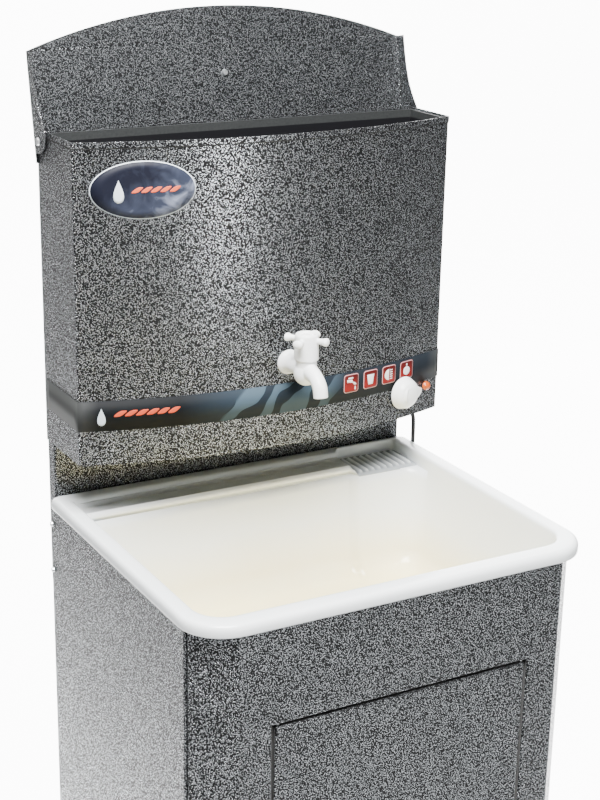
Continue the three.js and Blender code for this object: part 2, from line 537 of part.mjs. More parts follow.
// The lid is drawn closed about its pivot, then turned open.
function lid() {
  const { half, rise, front, bow, rear, pivotY, pivotZ } = LID;
  const group = new THREE.Group();
  group.position.set(0, pivotY, pivotZ);
  group.rotation.x = THREE.MathUtils.degToRad(-LID_OPEN_DEG);
  product.add(group);
  const radius = (half ** 2 + bow ** 2) / (2 * bow);
  const edge = Array.from({ length: BOW_STEPS + 1 }, (_, i) => {
    const x = half * (2 * i / BOW_STEPS - 1);
    return [x, -front - bow + radius - Math.sqrt(radius ** 2 - x ** 2)];
  });
  const panel = slab([[-half, rear], ...edge, [half, rear]], rise, rise + SHEET);
  const side = new THREE.Shape();
  side.moveTo(front, rise + SHEET / 2);
  side.lineTo(front, -0.3);
  side.quadraticCurveTo(40, -2, 14, -20);
  side.quadraticCurveTo(4, -27, -6, -20);
  side.quadraticCurveTo(-14, -12, -14, 0);
  side.lineTo(-14, rise + SHEET / 2);
  const flange = slab(side, 0, SHEET, 5).rotateX(Math.PI / 2).rotateZ(-Math.PI / 2);
  const flanges = [-half, half - SHEET].map((x) => flange.clone().translate(x + SHEET, 0, 0));
  const rivetHole = alongX(rod(LID_RIVET_HOLE, -300, 300, 12), 1);
  const screwHole = rod(2.4, 0, 30, 12).translate(0, -66, 0);
  add("lid_panel", cut(join(panel, ...flanges), rivetHole, screwHole), "hammered", group);
  const knob = turned([[2.4, 0], [9, 0], [8, 7], [13, 12], [13, 16], [9, 19], [0, 20], [0, 12], [2.4, 12],
    [2.4, 0]], 20);
  add("lid_knob", knob.translate(0, -66, rise + SHEET + GAP), "white", group);
  const knobScrew = screw(2, 11, 3.8, 2.6).rotateX(Math.PI);
  add("lid_knob_screw", knobScrew.translate(0, -66, rise - GAP), "zinc", group);
  const rivet = turned([[0, -5], [4, -5], [4, -3.8], [2.6, -3.8], [2.6, 0], [5, 0], [4, 1.8], [0, 1.8]], 12);
  for (const [name, sign] of [["left", -1], ["right", 1]]) {
    const piece = alongX(rivet.clone(), sign).translate(sign * (half + GAP), pivotY, pivotZ);
    add(`lid_rivet_${name}`, piece, "zinc");
  }
}

// --- lead ---

// A piece drawn straight down from z = 0 and bent along an arc towards +X.
function bent(geometry, radius) {
  const position = geometry.attributes.position;
  for (let i = 0; i < position.count; i += 1) {
    const angle = -position.getZ(i) / radius;
    const arm = radius - position.getX(i);
    position.setXYZ(i, radius - arm * Math.cos(angle), position.getY(i), -arm * Math.sin(angle));
  }
  return geometry;
}

function lead() {
  const bootLength = 22 * Math.PI / 3;
  const rings = Array.from({ length: 7 }, (_, i) => [5.2 - 1.7 * i / 6, -bootLength * i / 6]);
  const boot = bent(turned([[0, 0], ...rings, [0, -bootLength]].reverse(), 12), 22);
  const collar = turned([[0, -0.5], [7.5, -0.5], [7.5, 4.2], [4.8, 4.2], [4.8, 6.2], [7.5, 6.2], [7.5, 8.5],
    [0, 8.5]], 12);
  add("cord_strain_relief", join(boot, collar).translate(GLAND.x, GLAND.y, GLAND.topZ), "rubber");
  add("power_cord", hose(CORD_DROP, CORD_RADIUS, 76), "rubber");
  const { inner, outer, height } = COIL;
  const ring = turned([[inner, 0], [outer, 0], [outer, height], [inner, height], [inner, 0]], 24);
  add("cord_coil", ring.translate(COIL.x, COIL.y, 0), "rubber");
  add("power_cord_tail", hose(CORD_TAIL, CORD_RADIUS, 10), "rubber");
  const body = turned([[0, 0], [3.6, 0], [6, 24], [14, 30], [PLUG.radius, 40], [PLUG.radius, 62], [0, 62]], 20);
  const pins = [-9.5, 9.5].map((offset) => rod(2.4, 61, 81, 10).translate(0, offset, 0));
  add("mains_plug", alongX(join(body, ...pins), -1).translate(PLUG.x, PLUG.y, PLUG.z), "rubber");
}

cabinet();
door();
upright();
sink();
tank();
tap();
lid();
lead();

export default product;
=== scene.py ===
"""Looks of a portable handwash sink: hammered steel cabinet and tank, plastic sink, tap, knob, lid and lead.

Lengths in the tables below are millimetres from the rear plane of the upright (Y), the product's middle (X)
and the floor (Z); at() turns them into metres in the part's frame.
"""
import bmesh
import bpy
import json
import math
from mathutils import Matrix, Vector


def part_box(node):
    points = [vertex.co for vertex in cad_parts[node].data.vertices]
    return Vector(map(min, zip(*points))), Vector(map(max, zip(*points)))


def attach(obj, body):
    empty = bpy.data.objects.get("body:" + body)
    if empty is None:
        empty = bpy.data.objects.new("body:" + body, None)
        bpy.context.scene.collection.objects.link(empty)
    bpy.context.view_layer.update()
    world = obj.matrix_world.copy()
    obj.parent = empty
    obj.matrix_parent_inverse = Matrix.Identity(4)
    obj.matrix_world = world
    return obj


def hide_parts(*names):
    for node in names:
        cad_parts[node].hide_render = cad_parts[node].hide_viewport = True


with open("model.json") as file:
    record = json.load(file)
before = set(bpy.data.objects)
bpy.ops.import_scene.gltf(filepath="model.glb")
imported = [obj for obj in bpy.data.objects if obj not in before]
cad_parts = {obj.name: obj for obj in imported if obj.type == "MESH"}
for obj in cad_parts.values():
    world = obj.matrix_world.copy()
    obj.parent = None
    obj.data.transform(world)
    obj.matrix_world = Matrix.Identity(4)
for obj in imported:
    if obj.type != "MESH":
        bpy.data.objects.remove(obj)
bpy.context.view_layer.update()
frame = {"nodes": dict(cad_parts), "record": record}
NODES = frame["nodes"]
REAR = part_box("rear_upright")[1].y
MM = 0.001


def at(x, y, z):
    return Vector((x * MM, y * MM + REAR, z * MM))


# --- camera ---

def look(position, yaw, pitch, roll, lens):
    """A camera turned yaw degrees to the right of +Y, pitched down, and rolled."""
    forward = Vector((math.sin(yaw) * math.cos(pitch), math.cos(yaw) * math.cos(pitch), -math.sin(pitch)))
    right = Vector((math.cos(yaw), -math.sin(yaw), 0))
    up = right.cross(forward)
    side = math.cos(roll) * right + math.sin(roll) * up
    top = -math.sin(roll) * right + math.cos(roll) * up
    data = bpy.data.cameras.new("camera")
    data.lens = lens
    camera = bpy.data.objects.new("camera", data)
    turn = Matrix((side, top, -forward)).transposed().to_4x4()
    camera.matrix_world = Matrix.Translation(position) @ turn
    bpy.context.scene.collection.objects.link(camera)
    bpy.context.scene.camera = camera


CAMERA_PLACE = at(-886.3, -1750.2, 1541.4)
CAMERA_YAW, CAMERA_PITCH, CAMERA_ROLL = math.radians(29.47), math.radians(18.53), math.radians(1.11)
CAMERA_LENS = 73.75
look(CAMERA_PLACE, CAMERA_YAW, CAMERA_PITCH, CAMERA_ROLL, CAMERA_LENS)


# --- materials ---

class Shader:
    """A node material with a Principled shader; each method adds nodes and returns a socket."""

    def __init__(self, name, **values):
        self.material = bpy.data.materials.new(name)
        self.material.use_nodes = True
        self.tree = self.material.node_tree
        self.surface = self.tree.nodes["Principled BSDF"]
        for key, value in values.items():
            self.surface.inputs[key.replace("_", " ")].default_value = value
        self.coordinates = self.tree.nodes.new("ShaderNodeTexCoord").outputs["Object"]

    def node(self, kind, inputs=(), **settings):
        made = self.tree.nodes.new("ShaderNode" + kind)
        for key, value in settings.items():
            setattr(made, key, value)
        for key, value in dict(inputs).items():
            if isinstance(value, bpy.types.NodeSocket):
                self.tree.links.new(value, made.inputs[key])
            else:
                made.inputs[key].default_value = value
        return made

    def noise(self, scale, detail=2.0, distortion=0.0, roughness=0.5, vector=None):
        inputs = {"Vector": vector or self.coordinates, "Scale": scale, "Detail": detail,
                  "Distortion": distortion, "Roughness": roughness}
        return self.node("TexNoise", inputs).outputs["Fac"]

    def ramp(self, value, *stops):
        made = self.node("ValToRGB", {"Fac": value})
        elements = made.color_ramp.elements
        while len(elements) < len(stops):
            elements.new(0.5)
        for element, (position, colour) in zip(elements, stops):
            element.position = position
            element.color = (*colour, 1)
        return made.outputs["Color"]

    def spread(self, value, low, high, to_low=0.0, to_high=1.0):
        inputs = {"Value": value, "From Min": low, "From Max": high, "To Min": to_low, "To Max": to_high}
        return self.node("MapRange", inputs).outputs["Result"]

    def math(self, operation, a, b=0.0):
        return self.node("Math", {0: a, 1: b}, operation=operation).outputs[0]

    def mix(self, factor, a, b):
        made = self.node("Mix", {0: factor}, data_type="RGBA")
        for index, value in ((6, a), (7, b)):
            if isinstance(value, bpy.types.NodeSocket):
                self.tree.links.new(value, made.inputs[index])
            else:
                made.inputs[index].default_value = (*value, 1)
        return made.outputs[2]

    def bump(self, height, distance, strength=1.0):
        made = self.node("Bump", {"Height": height, "Distance": distance, "Strength": strength})
        self.tree.links.new(made.outputs["Normal"], self.surface.inputs["Normal"])

    def feed(self, socket, value):
        self.tree.links.new(value, self.surface.inputs[socket])


def hammered_paint():
    """Antique silver powder coat: fine silver flecks, one to a cell, on a black ground."""
    shader = Shader("hammered_paint", Specular_IOR_Level=0.25)
    curds = shader.noise(760, 0.5, 0.8, 0.5)
    cells = shader.node("TexVoronoi", {"Vector": shader.coordinates, "Scale": 640}, feature="F1")
    mottle = shader.math("ADD", cells.outputs["Distance"], shader.math("MULTIPLY", curds, -0.9))
    silver = shader.spread(mottle, -0.045, -0.115)
    patches = shader.noise(9, 2.0)
    bright = shader.mix(patches, (0.42, 0.445, 0.465), (0.53, 0.555, 0.575))
    shader.feed("Base Color", shader.mix(silver, (0.002, 0.002, 0.0025), bright))
    shader.feed("Metallic", shader.spread(silver, 0, 1, 0.0, 0.95))
    shader.feed("Roughness", shader.spread(silver, 0, 1, 0.45, 0.27))
    shader.bump(silver, 0.0003, 0.7)
    return shader.material


def moulded_plastic(name, colour, roughness, grain=900, depth=0.00002):
    shader = Shader(name)
    tone = shader.noise(30, 3.0)
    shade = tuple(c * 0.95 for c in colour)
    shader.feed("Base Color", shader.mix(tone, shade, colour))
    fine = shader.noise(grain, 3.0)
    shader.feed("Roughness", shader.spread(fine, 0.3, 0.7, roughness * 0.85, roughness * 1.2))
    shader.bump(fine, depth, 0.4)
    return shader.material


def sink_plastic(name="sink_plastic", shaded_grooves=False):
    """Glossy white plastic, a little bluish at the rim and cream on the basin's floor; grooves can get painted shade,
    grey low down.
    """
    shader = Shader(name)
    _, _, z = shader.node("SeparateXYZ", {"Vector": shader.coordinates}).outputs
    tone = shader.noise(12, 2.0)
    rim = shader.mix(tone, (0.86, 0.90, 0.91), (0.91, 0.93, 0.93))
    depth = shader.math("ADD", z, shader.math("MULTIPLY", tone, 0.03))
    if shaded_grooves:
        # painted shade: low in the soap rest's grooves the white turns grey, standing in for the shadow between the
        # ribs
        rim = shader.mix(shader.spread(z, 0.7892, 0.7918), (0.40, 0.43, 0.45), rim)
    shader.feed("Base Color", shader.mix(shader.spread(depth, 0.668, 0.75), (0.93, 0.83, 0.49), rim))
    shader.feed("Roughness", shader.spread(shader.noise(500, 3.0), 0.3, 0.7, 0.16, 0.24))
    shader.bump(shader.noise(160, 3.0), 0.00002, 0.3)
    return shader.material


def metal(name, colour, roughness):
    shader = Shader(name, Metallic=0.95)
    blotch = shader.noise(500, 3.0)
    shader.feed("Base Color", shader.mix(blotch, tuple(c * 0.8 for c in colour), colour))
    shader.feed("Roughness", shader.spread(blotch, 0.3, 0.7, roughness * 0.8, roughness * 1.3))
    shader.bump(blotch, 0.00003, 0.4)
    return shader.material


def rubber(name, colour, roughness):
    shader = Shader(name)
    dust = shader.noise(700, 4.0)
    shader.feed("Base Color", shader.mix(dust, colour, tuple(c * 1.8 for c in colour)))
    shader.feed("Roughness", shader.spread(dust, 0.3, 0.7, roughness, min(1, roughness * 1.25)))
    shader.bump(dust, 0.00004, 0.5)
    return shader.material


def tank_lining():
    """Near-black enamel, with a paler painted strip along the top."""
    shader = Shader("tank_lining", Roughness=0.35)
    _, _, z = shader.node("SeparateXYZ", {"Vector": shader.coordinates}).outputs
    strip = shader.spread(z, 1.2285, 1.2292)
    speck = shader.noise(400, 2.0)
    pale = shader.mix(speck, (0.012, 0.013, 0.013), (0.035, 0.037, 0.037))
    shader.feed("Base Color", shader.mix(strip, (0.005, 0.005, 0.006), pale))
    shader.bump(speck, 0.0001, 0.4)
    return shader.material


def band_film():
    """A printed film: black at the left end, then blue-grey with dark diagonal waves, darker again at the right."""
    shader = Shader("band_film", Roughness=0.6, Specular_IOR_Level=0.12)
    x, y, z = shader.node("SeparateXYZ", {"Vector": shader.coordinates}).outputs
    lean = shader.math("ADD", x, shader.math("MULTIPLY", z, -0.9))
    wander = shader.math("MULTIPLY", shader.noise(26, 1.0), 0.05)
    phase = shader.math("MULTIPLY", shader.math("ADD", lean, wander), 150)
    wave = shader.spread(shader.math("SINE", phase), -0.06, 0.06)
    stripes = shader.mix(wave, (0.009, 0.014, 0.020), (0.045, 0.070, 0.092))
    start = shader.spread(x, -0.13, -0.05)
    left = shader.mix(start, (0.002, 0.003, 0.004), (0.018, 0.028, 0.039))
    waved = shader.spread(lean, -0.905, -0.9)
    middle = shader.mix(waved, left, stripes)
    right = shader.spread(x, 0.055, 0.085)
    front = shader.mix(right, middle, (0.010, 0.013, 0.017))
    side = shader.spread(y, 0.095, 0.105)
    shader.feed("Base Color", shader.mix(side, front, (0.045, 0.047, 0.046)))
    shader.bump(shader.noise(1200, 2.0), 0.00001, 0.3)
    return shader.material


def badge_film():
    """A printed oval: dark navy smoke that clears to icy blue at the right and the bottom."""
    shader = Shader("badge_film", Roughness=0.5, Specular_IOR_Level=0.15)
    x, _, z = shader.node("SeparateXYZ", {"Vector": shader.coordinates}).outputs
    across = shader.spread(x, -0.215, -0.115)
    down = shader.spread(z, 1.20, 1.155, 0.0, 0.4)
    smoke = shader.spread(shader.noise(45, 4.0, 1.6), 0.3, 0.7, -0.24, 0.08)
    tone = shader.math("ADD", shader.math("ADD", shader.math("MULTIPLY", across, 0.62), down), smoke)
    shader.feed("Base Color", shader.ramp(tone, (0.15, (0.006, 0.007, 0.014)), (0.55, (0.025, 0.030, 0.048)),
                                          (0.85, (0.20, 0.22, 0.29)), (1.1, (0.52, 0.56, 0.63))))
    shader.bump(shader.noise(1200, 2.0), 0.00001, 0.3)
    return shader.material


def amber_lens():
    shader = Shader("amber_lens", Roughness=0.16, Emission_Strength=0.03)
    shader.surface.inputs["Emission Color"].default_value = (0.9, 0.22, 0.04, 1)
    depth = shader.noise(400, 2.0)
    shader.feed("Base Color", shader.mix(depth, (0.32, 0.045, 0.006), (0.55, 0.11, 0.015)))
    return shader.material


def print_ink(name, dark, light, span):
    """Ink that fades down a small icon."""
    shader = Shader(name, Roughness=0.5, Specular_IOR_Level=0.2)
    _, _, z = shader.node("SeparateXYZ", {"Vector": shader.coordinates}).outputs
    fade = shader.spread(z, *span)
    speck = shader.math("MULTIPLY", shader.noise(2500, 2.0), 0.15)
    shader.feed("Base Color", shader.mix(shader.math("ADD", fade, speck), dark, light))
    return shader.material


WHITE = (0.94, 0.955, 0.95)
MATERIALS = {
    "hammered_paint": hammered_paint(),
    "sink_plastic": sink_plastic(),
    "white_plastic": moulded_plastic("white_plastic", WHITE, 0.26),
    "black_plastic": moulded_plastic("black_plastic", (0.016, 0.016, 0.017), 0.5),
    "tank_lining": tank_lining(),
    "zinc_steel": metal("zinc_steel", (0.84, 0.86, 0.88), 0.3),
    "brass": metal("brass", (0.72, 0.53, 0.24), 0.3),
    "rubber_seal": rubber("rubber_seal", (0.02, 0.02, 0.02), 0.7),
    "amber_lens": amber_lens(),
    "band_film": band_film(),
    "badge_film": badge_film(),
    "cord_black": rubber("cord_black", (0.012, 0.012, 0.013), 0.5),
}
ICON_RED = print_ink("icon_red", (0.26, 0.012, 0.010), (0.05, 0.004, 0.004), (0.920, 0.944))
ORANGE_INK = print_ink("orange_ink", (0.52, 0.06, 0.02), (0.62, 0.10, 0.04), (0.9, 1.2))
ICON_LINE = print_ink("icon_line", (0.60, 0.40, 0.40), (0.50, 0.25, 0.25), (0.920, 0.944))
ICON_WHITE = print_ink("icon_white", (0.70, 0.66, 0.65), (0.80, 0.78, 0.77), (0.920, 0.944))
BADGE_EDGE = print_ink("badge_edge", (0.50, 0.57, 0.62), (0.72, 0.78, 0.82), (1.15, 1.22))

SLOT_OF = {entry["node"]: entry["material_slot"] for entry in frame["record"]["subparts"]}
for node_name, cad in NODES.items():
    cad.data.materials.clear()
    cad.data.materials.append(MATERIALS[SLOT_OF[node_name]])


# --- making pieces ---

def piece(name, verts, faces, slot, body="stand", replaces=(), smooth=True, material=None):
    mesh = bpy.data.meshes.new(name)
    mesh.from_pydata([tuple(v) for v in verts], [], faces)
    mesh.validate()
    made = bmesh.new()
    made.from_mesh(mesh)
    bmesh.ops.recalc_face_normals(made, faces=made.faces)
    made.to_mesh(mesh)
    made.free()
    for polygon in mesh.polygons:
        polygon.use_smooth = smooth
    result = bpy.data.objects.new(name, mesh)
    bpy.context.scene.collection.objects.link(result)
    mesh.materials.append(material or MATERIALS[slot])
    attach(result, body)
    if replaces:
        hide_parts(*replaces)
    return result


def modifier(target, kind, **settings):
    made = target.modifiers.new(kind.lower(), kind)
    for key, value in settings.items():
        setattr(made, key, value)
    return made


def apply_modifiers(target):
    evaluated = target.evaluated_get(bpy.context.evaluated_depsgraph_get())
    mesh = bpy.data.meshes.new_from_object(evaluated)
    target.modifiers.clear()
    target.data = mesh


def loft(rings, cap_start=False, cap_end=False):
    """Closed rings of points joined in order."""
    count = len(rings[0])
    verts = [p for ring in rings for p in ring]
    faces = []
    for r in range(len(rings) - 1):
        for i in range(count):
            j = (i + 1) % count
            faces.append((r * count + i, r * count + j, (r + 1) * count + j, (r + 1) * count + i))
    if cap_start:
        faces.append(tuple(range(count)))
    if cap_end:
        faces.append(tuple((len(rings) - 1) * count + i for i in range(count)))
    return verts, faces


def turned(profile, segments=48):
    """A closed body turned about Z from [radius, height]; a radius of 0 is a point on the axis."""
    rings = [[Vector((max(r, 0.01) * math.cos(a), max(r, 0.01) * math.sin(a), z))
              for a in (2 * math.pi * i / segments for i in range(segments))] for r, z in profile]
    return loft(rings, True, True)


def smooth_line(points, steps=8):
    """Points along a centripetal Catmull-Rom line through the given points."""
    line = [Vector(p) for p in points]
    line = [2 * line[0] - line[1]] + line + [2 * line[-1] - line[-2]]
    result = []
    for i in range(1, len(line) - 2):
        p0, p1, p2, p3 = line[i - 1:i + 3]
        t1 = max((p1 - p0).length, 1e-9) ** 0.5
        t2 = t1 + max((p2 - p1).length, 1e-9) ** 0.5
        t3 = t2 + max((p3 - p2).length, 1e-9) ** 0.5
        for k in range(steps):
            t = t1 + (t2 - t1) * k / steps
            a1 = (t1 - t) / t1 * p0 + t / t1 * p1
            a2 = (t2 - t) / (t2 - t1) * p1 + (t - t1) / (t2 - t1) * p2
            a3 = (t3 - t) / (t3 - t2) * p2 + (t - t2) / (t3 - t2) * p3
            b1 = (t2 - t) / t2 * a1 + t / t2 * a2
            b2 = (t3 - t) / (t3 - t1) * a2 + (t - t1) / (t3 - t1) * a3
            result.append((t2 - t) / (t2 - t1) * b1 + (t - t1) / (t2 - t1) * b2)
    result.append(line[-2])
    return result


def pipe(points, radii, segments=32):
    """A closed round tube along a line, with one radius or one for each point."""
    line = [Vector(p) for p in points]
    if not isinstance(radii, (list, tuple)):
        radii = [radii] * len(line)
    rings = []
    side = None
    for i, p in enumerate(line):
        tangent = (line[min(i + 1, len(line) - 1)] - line[max(i - 1, 0)]).normalized()
        if side is None:
            side = tangent.orthogonal().normalized()
        side = (side - side.dot(tangent) * tangent).normalized()
        other = tangent.cross(side)
        rings.append([p + radii[i] * (math.cos(a) * side + math.sin(a) * other)
                      for a in (2 * math.pi * k / segments for k in range(segments))])
    return loft(rings, True, True)


def placed(shape, matrix=Matrix.Identity(4), scale=MM):
    verts, faces = shape
    return [matrix @ (Vector(v) * scale) for v in verts], faces


def merged(*shapes):
    verts, faces = [], []
    for more_verts, more_faces in shapes:
        base = len(verts)
        verts += more_verts
        faces += [tuple(base + i for i in face) for face in more_faces]
    return verts, faces


def moulded(target, voxel, smoothing):
    """Melts overlapping shapes into one soft-edged moulding."""
    modifier(target, "REMESH", mode="VOXEL", voxel_size=voxel, use_smooth_shade=True)
    modifier(target, "SMOOTH", factor=0.5, iterations=smoothing)
    apply_modifiers(target)
    for polygon in target.data.polygons:
        polygon.use_smooth = True


# --- lead ---

CORD_RADIUS = 2.7
CORD_DROP = [
    (243.7, -38.5, 846.6), (247.6, -38.5, 843.5), (251.1, -38.5, 838.9), (253.3, -38.5, 833.6),
    (254, -38.5, 827.9), (254.3, -38.6, 800), (254.6, -38.9, 740), (254.9, -39.2, 660),
    (255, -39.4, 560), (255, -39.5, 460), (254.8, -39.3, 360), (254.5, -39, 260),
    (254.2, -38.7, 160), (254, -38.5, 90), (254, -38.5, 34.7), (254, -36.1, 22.5),
    (254, -29.1, 12.1), (254, -18.7, 5.1), (254, -6.5, 2.7), (254, 4, 2.7), (254, 14.5, 2.7),
]
CORD_TAIL = [
    (184, 43.9, 7.6), (176, 36.5, 5.6), (166.5, 29.8, 3.9), (155.5, 24.6, 2.9), (143.5, 21.6, 3.1),
    (132, 20.4, 5.6), (121.5, 20.1, 10.4), (112, 20, 15), (102, 20, 17.8), (92, 20, 18.5),
]
COIL_CENTRE = (221.3, 35)
COIL_END_DEG = 1215


def ease(value, low, high):
    t = min(max((value - low) / (high - low), 0), 1)
    return t * t * (3 - 2 * t)


def coil_point(degrees):
    """Turns lie side by side and on each other: outer, inner, then inner and outer on top."""
    radius = 32.7 - 5.5 * ease(degrees, 290, 360) + 5.5 * ease(degrees, 880, 950)
    height = CORD_RADIUS + 5.5 * ease(degrees, 590, 660)
    angle = math.radians(degrees)
    return (COIL_CENTRE[0] + radius * math.cos(angle), COIL_CENTRE[1] + radius * math.sin(angle), height)


def lead():
    turns = [coil_point(d) for d in range(0, COIL_END_DEG + 1, 15)]
    route = [at(*p) for p in [*CORD_DROP, *turns, *CORD_TAIL]]
    curve = bpy.data.curves.new("mains_lead", "CURVE")
    curve.dimensions = "3D"
    line = smooth_line(route, 5)
    spline = curve.splines.new("POLY")
    spline.points.add(len(line) - 1)
    for point, p in zip(spline.points, line):
        point.co = (*p, 1)
    curve.bevel_depth = CORD_RADIUS * MM
    curve.bevel_resolution = 4
    curve.use_fill_caps = True
    curve.materials.append(MATERIALS["cord_black"])
    cord = bpy.data.objects.new("mains_lead", curve)
    bpy.context.scene.collection.objects.link(cord)
    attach(cord, "stand")
    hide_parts("power_cord", "cord_coil", "power_cord_tail")


lead()


# --- sink ---

RIM_Z = 804


def outline(half, rear_y, front_y, rear_radius, front_radius, rear_line=None):
    """A rounded rectangle with the same number of points for any size; its rear line may bend."""
    points = []

    def arc(cx, cy, radius, start):
        for i in range(13):
            angle = math.radians(start + 90 * i / 12)
            points.append((cx + radius * math.cos(angle), cy + radius * math.sin(angle)))

    def straight(a, b, count):
        for i in range(1, count):
            t = i / count
            points.append((a[0] + (b[0] - a[0]) * t, a[1] + (b[1] - a[1]) * t))

    arc(-half + front_radius, front_y + front_radius, front_radius, 180)
    straight((-half + front_radius, front_y), (half - front_radius, front_y), 24)
    arc(half - front_radius, front_y + front_radius, front_radius, 270)
    straight((half, front_y + front_radius), (half, rear_y - rear_radius), 24)
    arc(half - rear_radius, rear_y - rear_radius, rear_radius, 0)
    straight((half - rear_radius, rear_y), (-half + rear_radius, rear_y), 110)
    arc(-half + rear_radius, rear_y - rear_radius, rear_radius, 90)
    straight((-half, rear_y - rear_radius), (-half, front_y + front_radius), 24)
    if rear_line:
        points = [(x, rear_line(x, y)) for x, y in points]
    return points


RIM_HALF, RIM_REAR, RIM_FRONT = 250, -19.8, -430.2
BASIN_HALF, BASIN_REAR, BASIN_FRONT = 228.5, -78.5, -403.5
BASIN_TOP, BASIN_FLOOR, BASIN_FILLET, BASIN_DRAFT = 787, 651, 30, 7
DRAIN_CENTRE, DRAIN_RADIUS = Vector((0, -240)), 20
SINK_WALL = 2.4


def ledge_rear(x, y):
    """The ledge reaches further back at the soap rest."""
    return y + (13 * ease(x, 134, 141) if y > -60 else 0)


def basin_outline(inset, bend=0.0):
    """The basin's wall, which stands further forward below the soap rest."""
    return outline(BASIN_HALF - inset, BASIN_REAR - inset, BASIN_FRONT + inset, 27 - bend, 34 - bend,
                   lambda x, y: y - 11.5 * ease(x, 133, 142) * ease(y, -150, -100))


def sink():
    # Up the lip and on to the rim: inset from the outer edge, and height.
    lip = [(2.4, 791), (1.2, 790.2), (0.3, 790.4), (0, 791.5), (0, 797), (0.5, 799.6), (1.6, 801.8), (3.4, 803.3),
           (5.8, 803.95)]
    rings = []
    for inset, z in lip:
        border = outline(RIM_HALF - inset, RIM_REAR - inset, RIM_FRONT + inset, 8, 52 - inset)
        rings.append([at(x, y, z) for x, y in border])
    # Across the rim's top: share of the way in, and height.
    outer = outline(244.2, -25.6, -424.4, 8, 46)
    inner = outline(229, -43, -404, 6, 34, ledge_rear)
    for share, z in ((0.35, RIM_Z), (0.6, RIM_Z), (0.8, 803.7), (0.92, 802.7), (0.98, 801), (1.0, 798.5)):
        rings.append([at(a[0] + (b[0] - a[0]) * share, a[1] + (b[1] - a[1]) * share, z)
                      for a, b in zip(outer, inner)])
    rings.append([at(x, y, 790) for x, y in outline(228.7, -43.3, -403.7, 6, 34, ledge_rear)])
    rings.append([at(x, y, 787.2) for x, y in outline(228.5, -43.6, -403.5, 6, 34, ledge_rear)])

    def basin(inset, z, bend=0.0):
        rings.append([at(x, y, z) for x, y in basin_outline(inset, bend)])
    for i in range(9):
        share = i / 8
        basin(BASIN_DRAFT * share, BASIN_TOP - (BASIN_TOP - BASIN_FLOOR - BASIN_FILLET) * share)
    for i in range(1, 11):
        angle = math.radians(9 * i)
        basin(BASIN_DRAFT + BASIN_FILLET * (1 - math.cos(angle)), BASIN_FLOOR + BASIN_FILLET * (1 - math.sin(angle)), 3)
    # The floor runs on towards the drain, a little lower there.
    edge = basin_outline(BASIN_DRAFT + BASIN_FILLET, 3)
    for share in (0.2, 0.4, 0.6, 0.75, 0.87, 0.95, 1.0):
        ring = []
        for x, y in edge:
            near = DRAIN_CENTRE + (Vector((x, y)) - DRAIN_CENTRE).normalized() * DRAIN_RADIUS
            ring.append(at(x + (near.x - x) * share, y + (near.y - y) * share, BASIN_FLOOR - 0.6 * share))
        rings.append(ring)
    rings.append([p + Vector((0, 0, -0.003)) for p in rings[-1]])
    shell = piece("sink_body", *loft(rings), "sink_plastic", replaces=("sink_basin",))
    modifier(shell, "SOLIDIFY", thickness=SINK_WALL * MM, offset=-1, use_rim=True, use_quality_normals=False)


def shelf_height(x, y):
    """Top of the ledge behind the basin: a long trough at the left, and a ribbed soap rest at the right."""
    soap = ease(x, 134, 140)
    slope = 112 + 24 * (-y - 43) / 31
    trough = ease(x, -228, -223.5) * (1 - ease(x, slope - 4, slope + 1)) * (1 - ease(y, -44.6, -43.2)) \
        * ease(y, -76.5, -73.0)
    low = 798 - 6 * trough
    ribs = 0.0
    if 142 < x < 226:
        phase = (x - 142) / 9.2
        bump = max(0.0, math.cos(2 * math.pi * (phase - math.floor(phase) - 0.5)))
        ribs = 3.6 * bump ** 0.7 * ease(y, -87.5, -83) * (1 - ease(y, -38, -33.5))
    tray = 789 + ribs
    edge_drop = 3.0 * (1 - ease(y, -89.9, -87)) if soap > 0.5 else 2.2 * (1 - ease(y, -78.4, -76.4))
    return low * (1 - soap) + tray * soap - edge_drop


def shelf():
    columns, rows = 340, 64
    verts, faces = [], []
    for i in range(columns + 1):
        x = -228.6 + 457.2 * i / columns
        rear = -43.1 + 13 * ease(x, 134, 141)
        front = -78.6 - 11.5 * ease(x, 133, 142)
        for j in range(rows + 1):
            y = rear + (front - rear) * j / rows
            verts.append(at(x, y, shelf_height(x, y)))
        verts.append(at(x, front, 787.1))
        verts.append(at(x, rear, 787.1))
    stride = rows + 3
    for i in range(columns):
        a, b = i * stride, (i + 1) * stride
        for j in range(stride):
            k = (j + 1) % stride
            faces.append((a + j, a + k, b + k, b + j))
    faces.append(tuple(range(stride)))
    faces.append(tuple(columns * stride + j for j in range(stride)))
    # the soap rest's plastic has painted shade in its grooves
    piece("sink_shelf", verts, faces, "sink_plastic", material=sink_plastic("shelf_plastic", shaded_grooves=True))


sink()
shelf()


# --- tank front: band, icons and badge ---

TANK_HALF = 243.4
CORNER_Y = -103.6
BOW = 40.5
BOW_RADIUS = (TANK_HALF ** 2 + BOW ** 2) / (2 * BOW)


def bow_y(x, proud=0.0):
    """Y of the tank's front at x, on a surface that stands proud of it."""
    radius = BOW_RADIUS + proud
    return CORNER_Y - BOW + BOW_RADIUS - math.sqrt(radius ** 2 - x ** 2)


def film(name, border, slot, proud, material=None, replaces=(), thickness=0.12):
    """A thin print on the bowed front, from a border of (x, z) points round its middle."""
    cx = sum(p[0] for p in border) / len(border)
    cz = sum(p[1] for p in border) / len(border)
    rings = []
    for share in (1.0, 0.75, 0.5, 0.25, 0.02):
        ring = [(cx + (x - cx) * share, cz + (z - cz) * share) for x, z in border]
        rings.append([at(x, bow_y(x, proud), z) for x, z in ring])
    verts, faces = loft(rings, False, True)
    made = piece(name, verts, faces, slot, material=material, replaces=replaces)
    modifier(made, "SOLIDIFY", thickness=thickness * MM, offset=1)
    return made


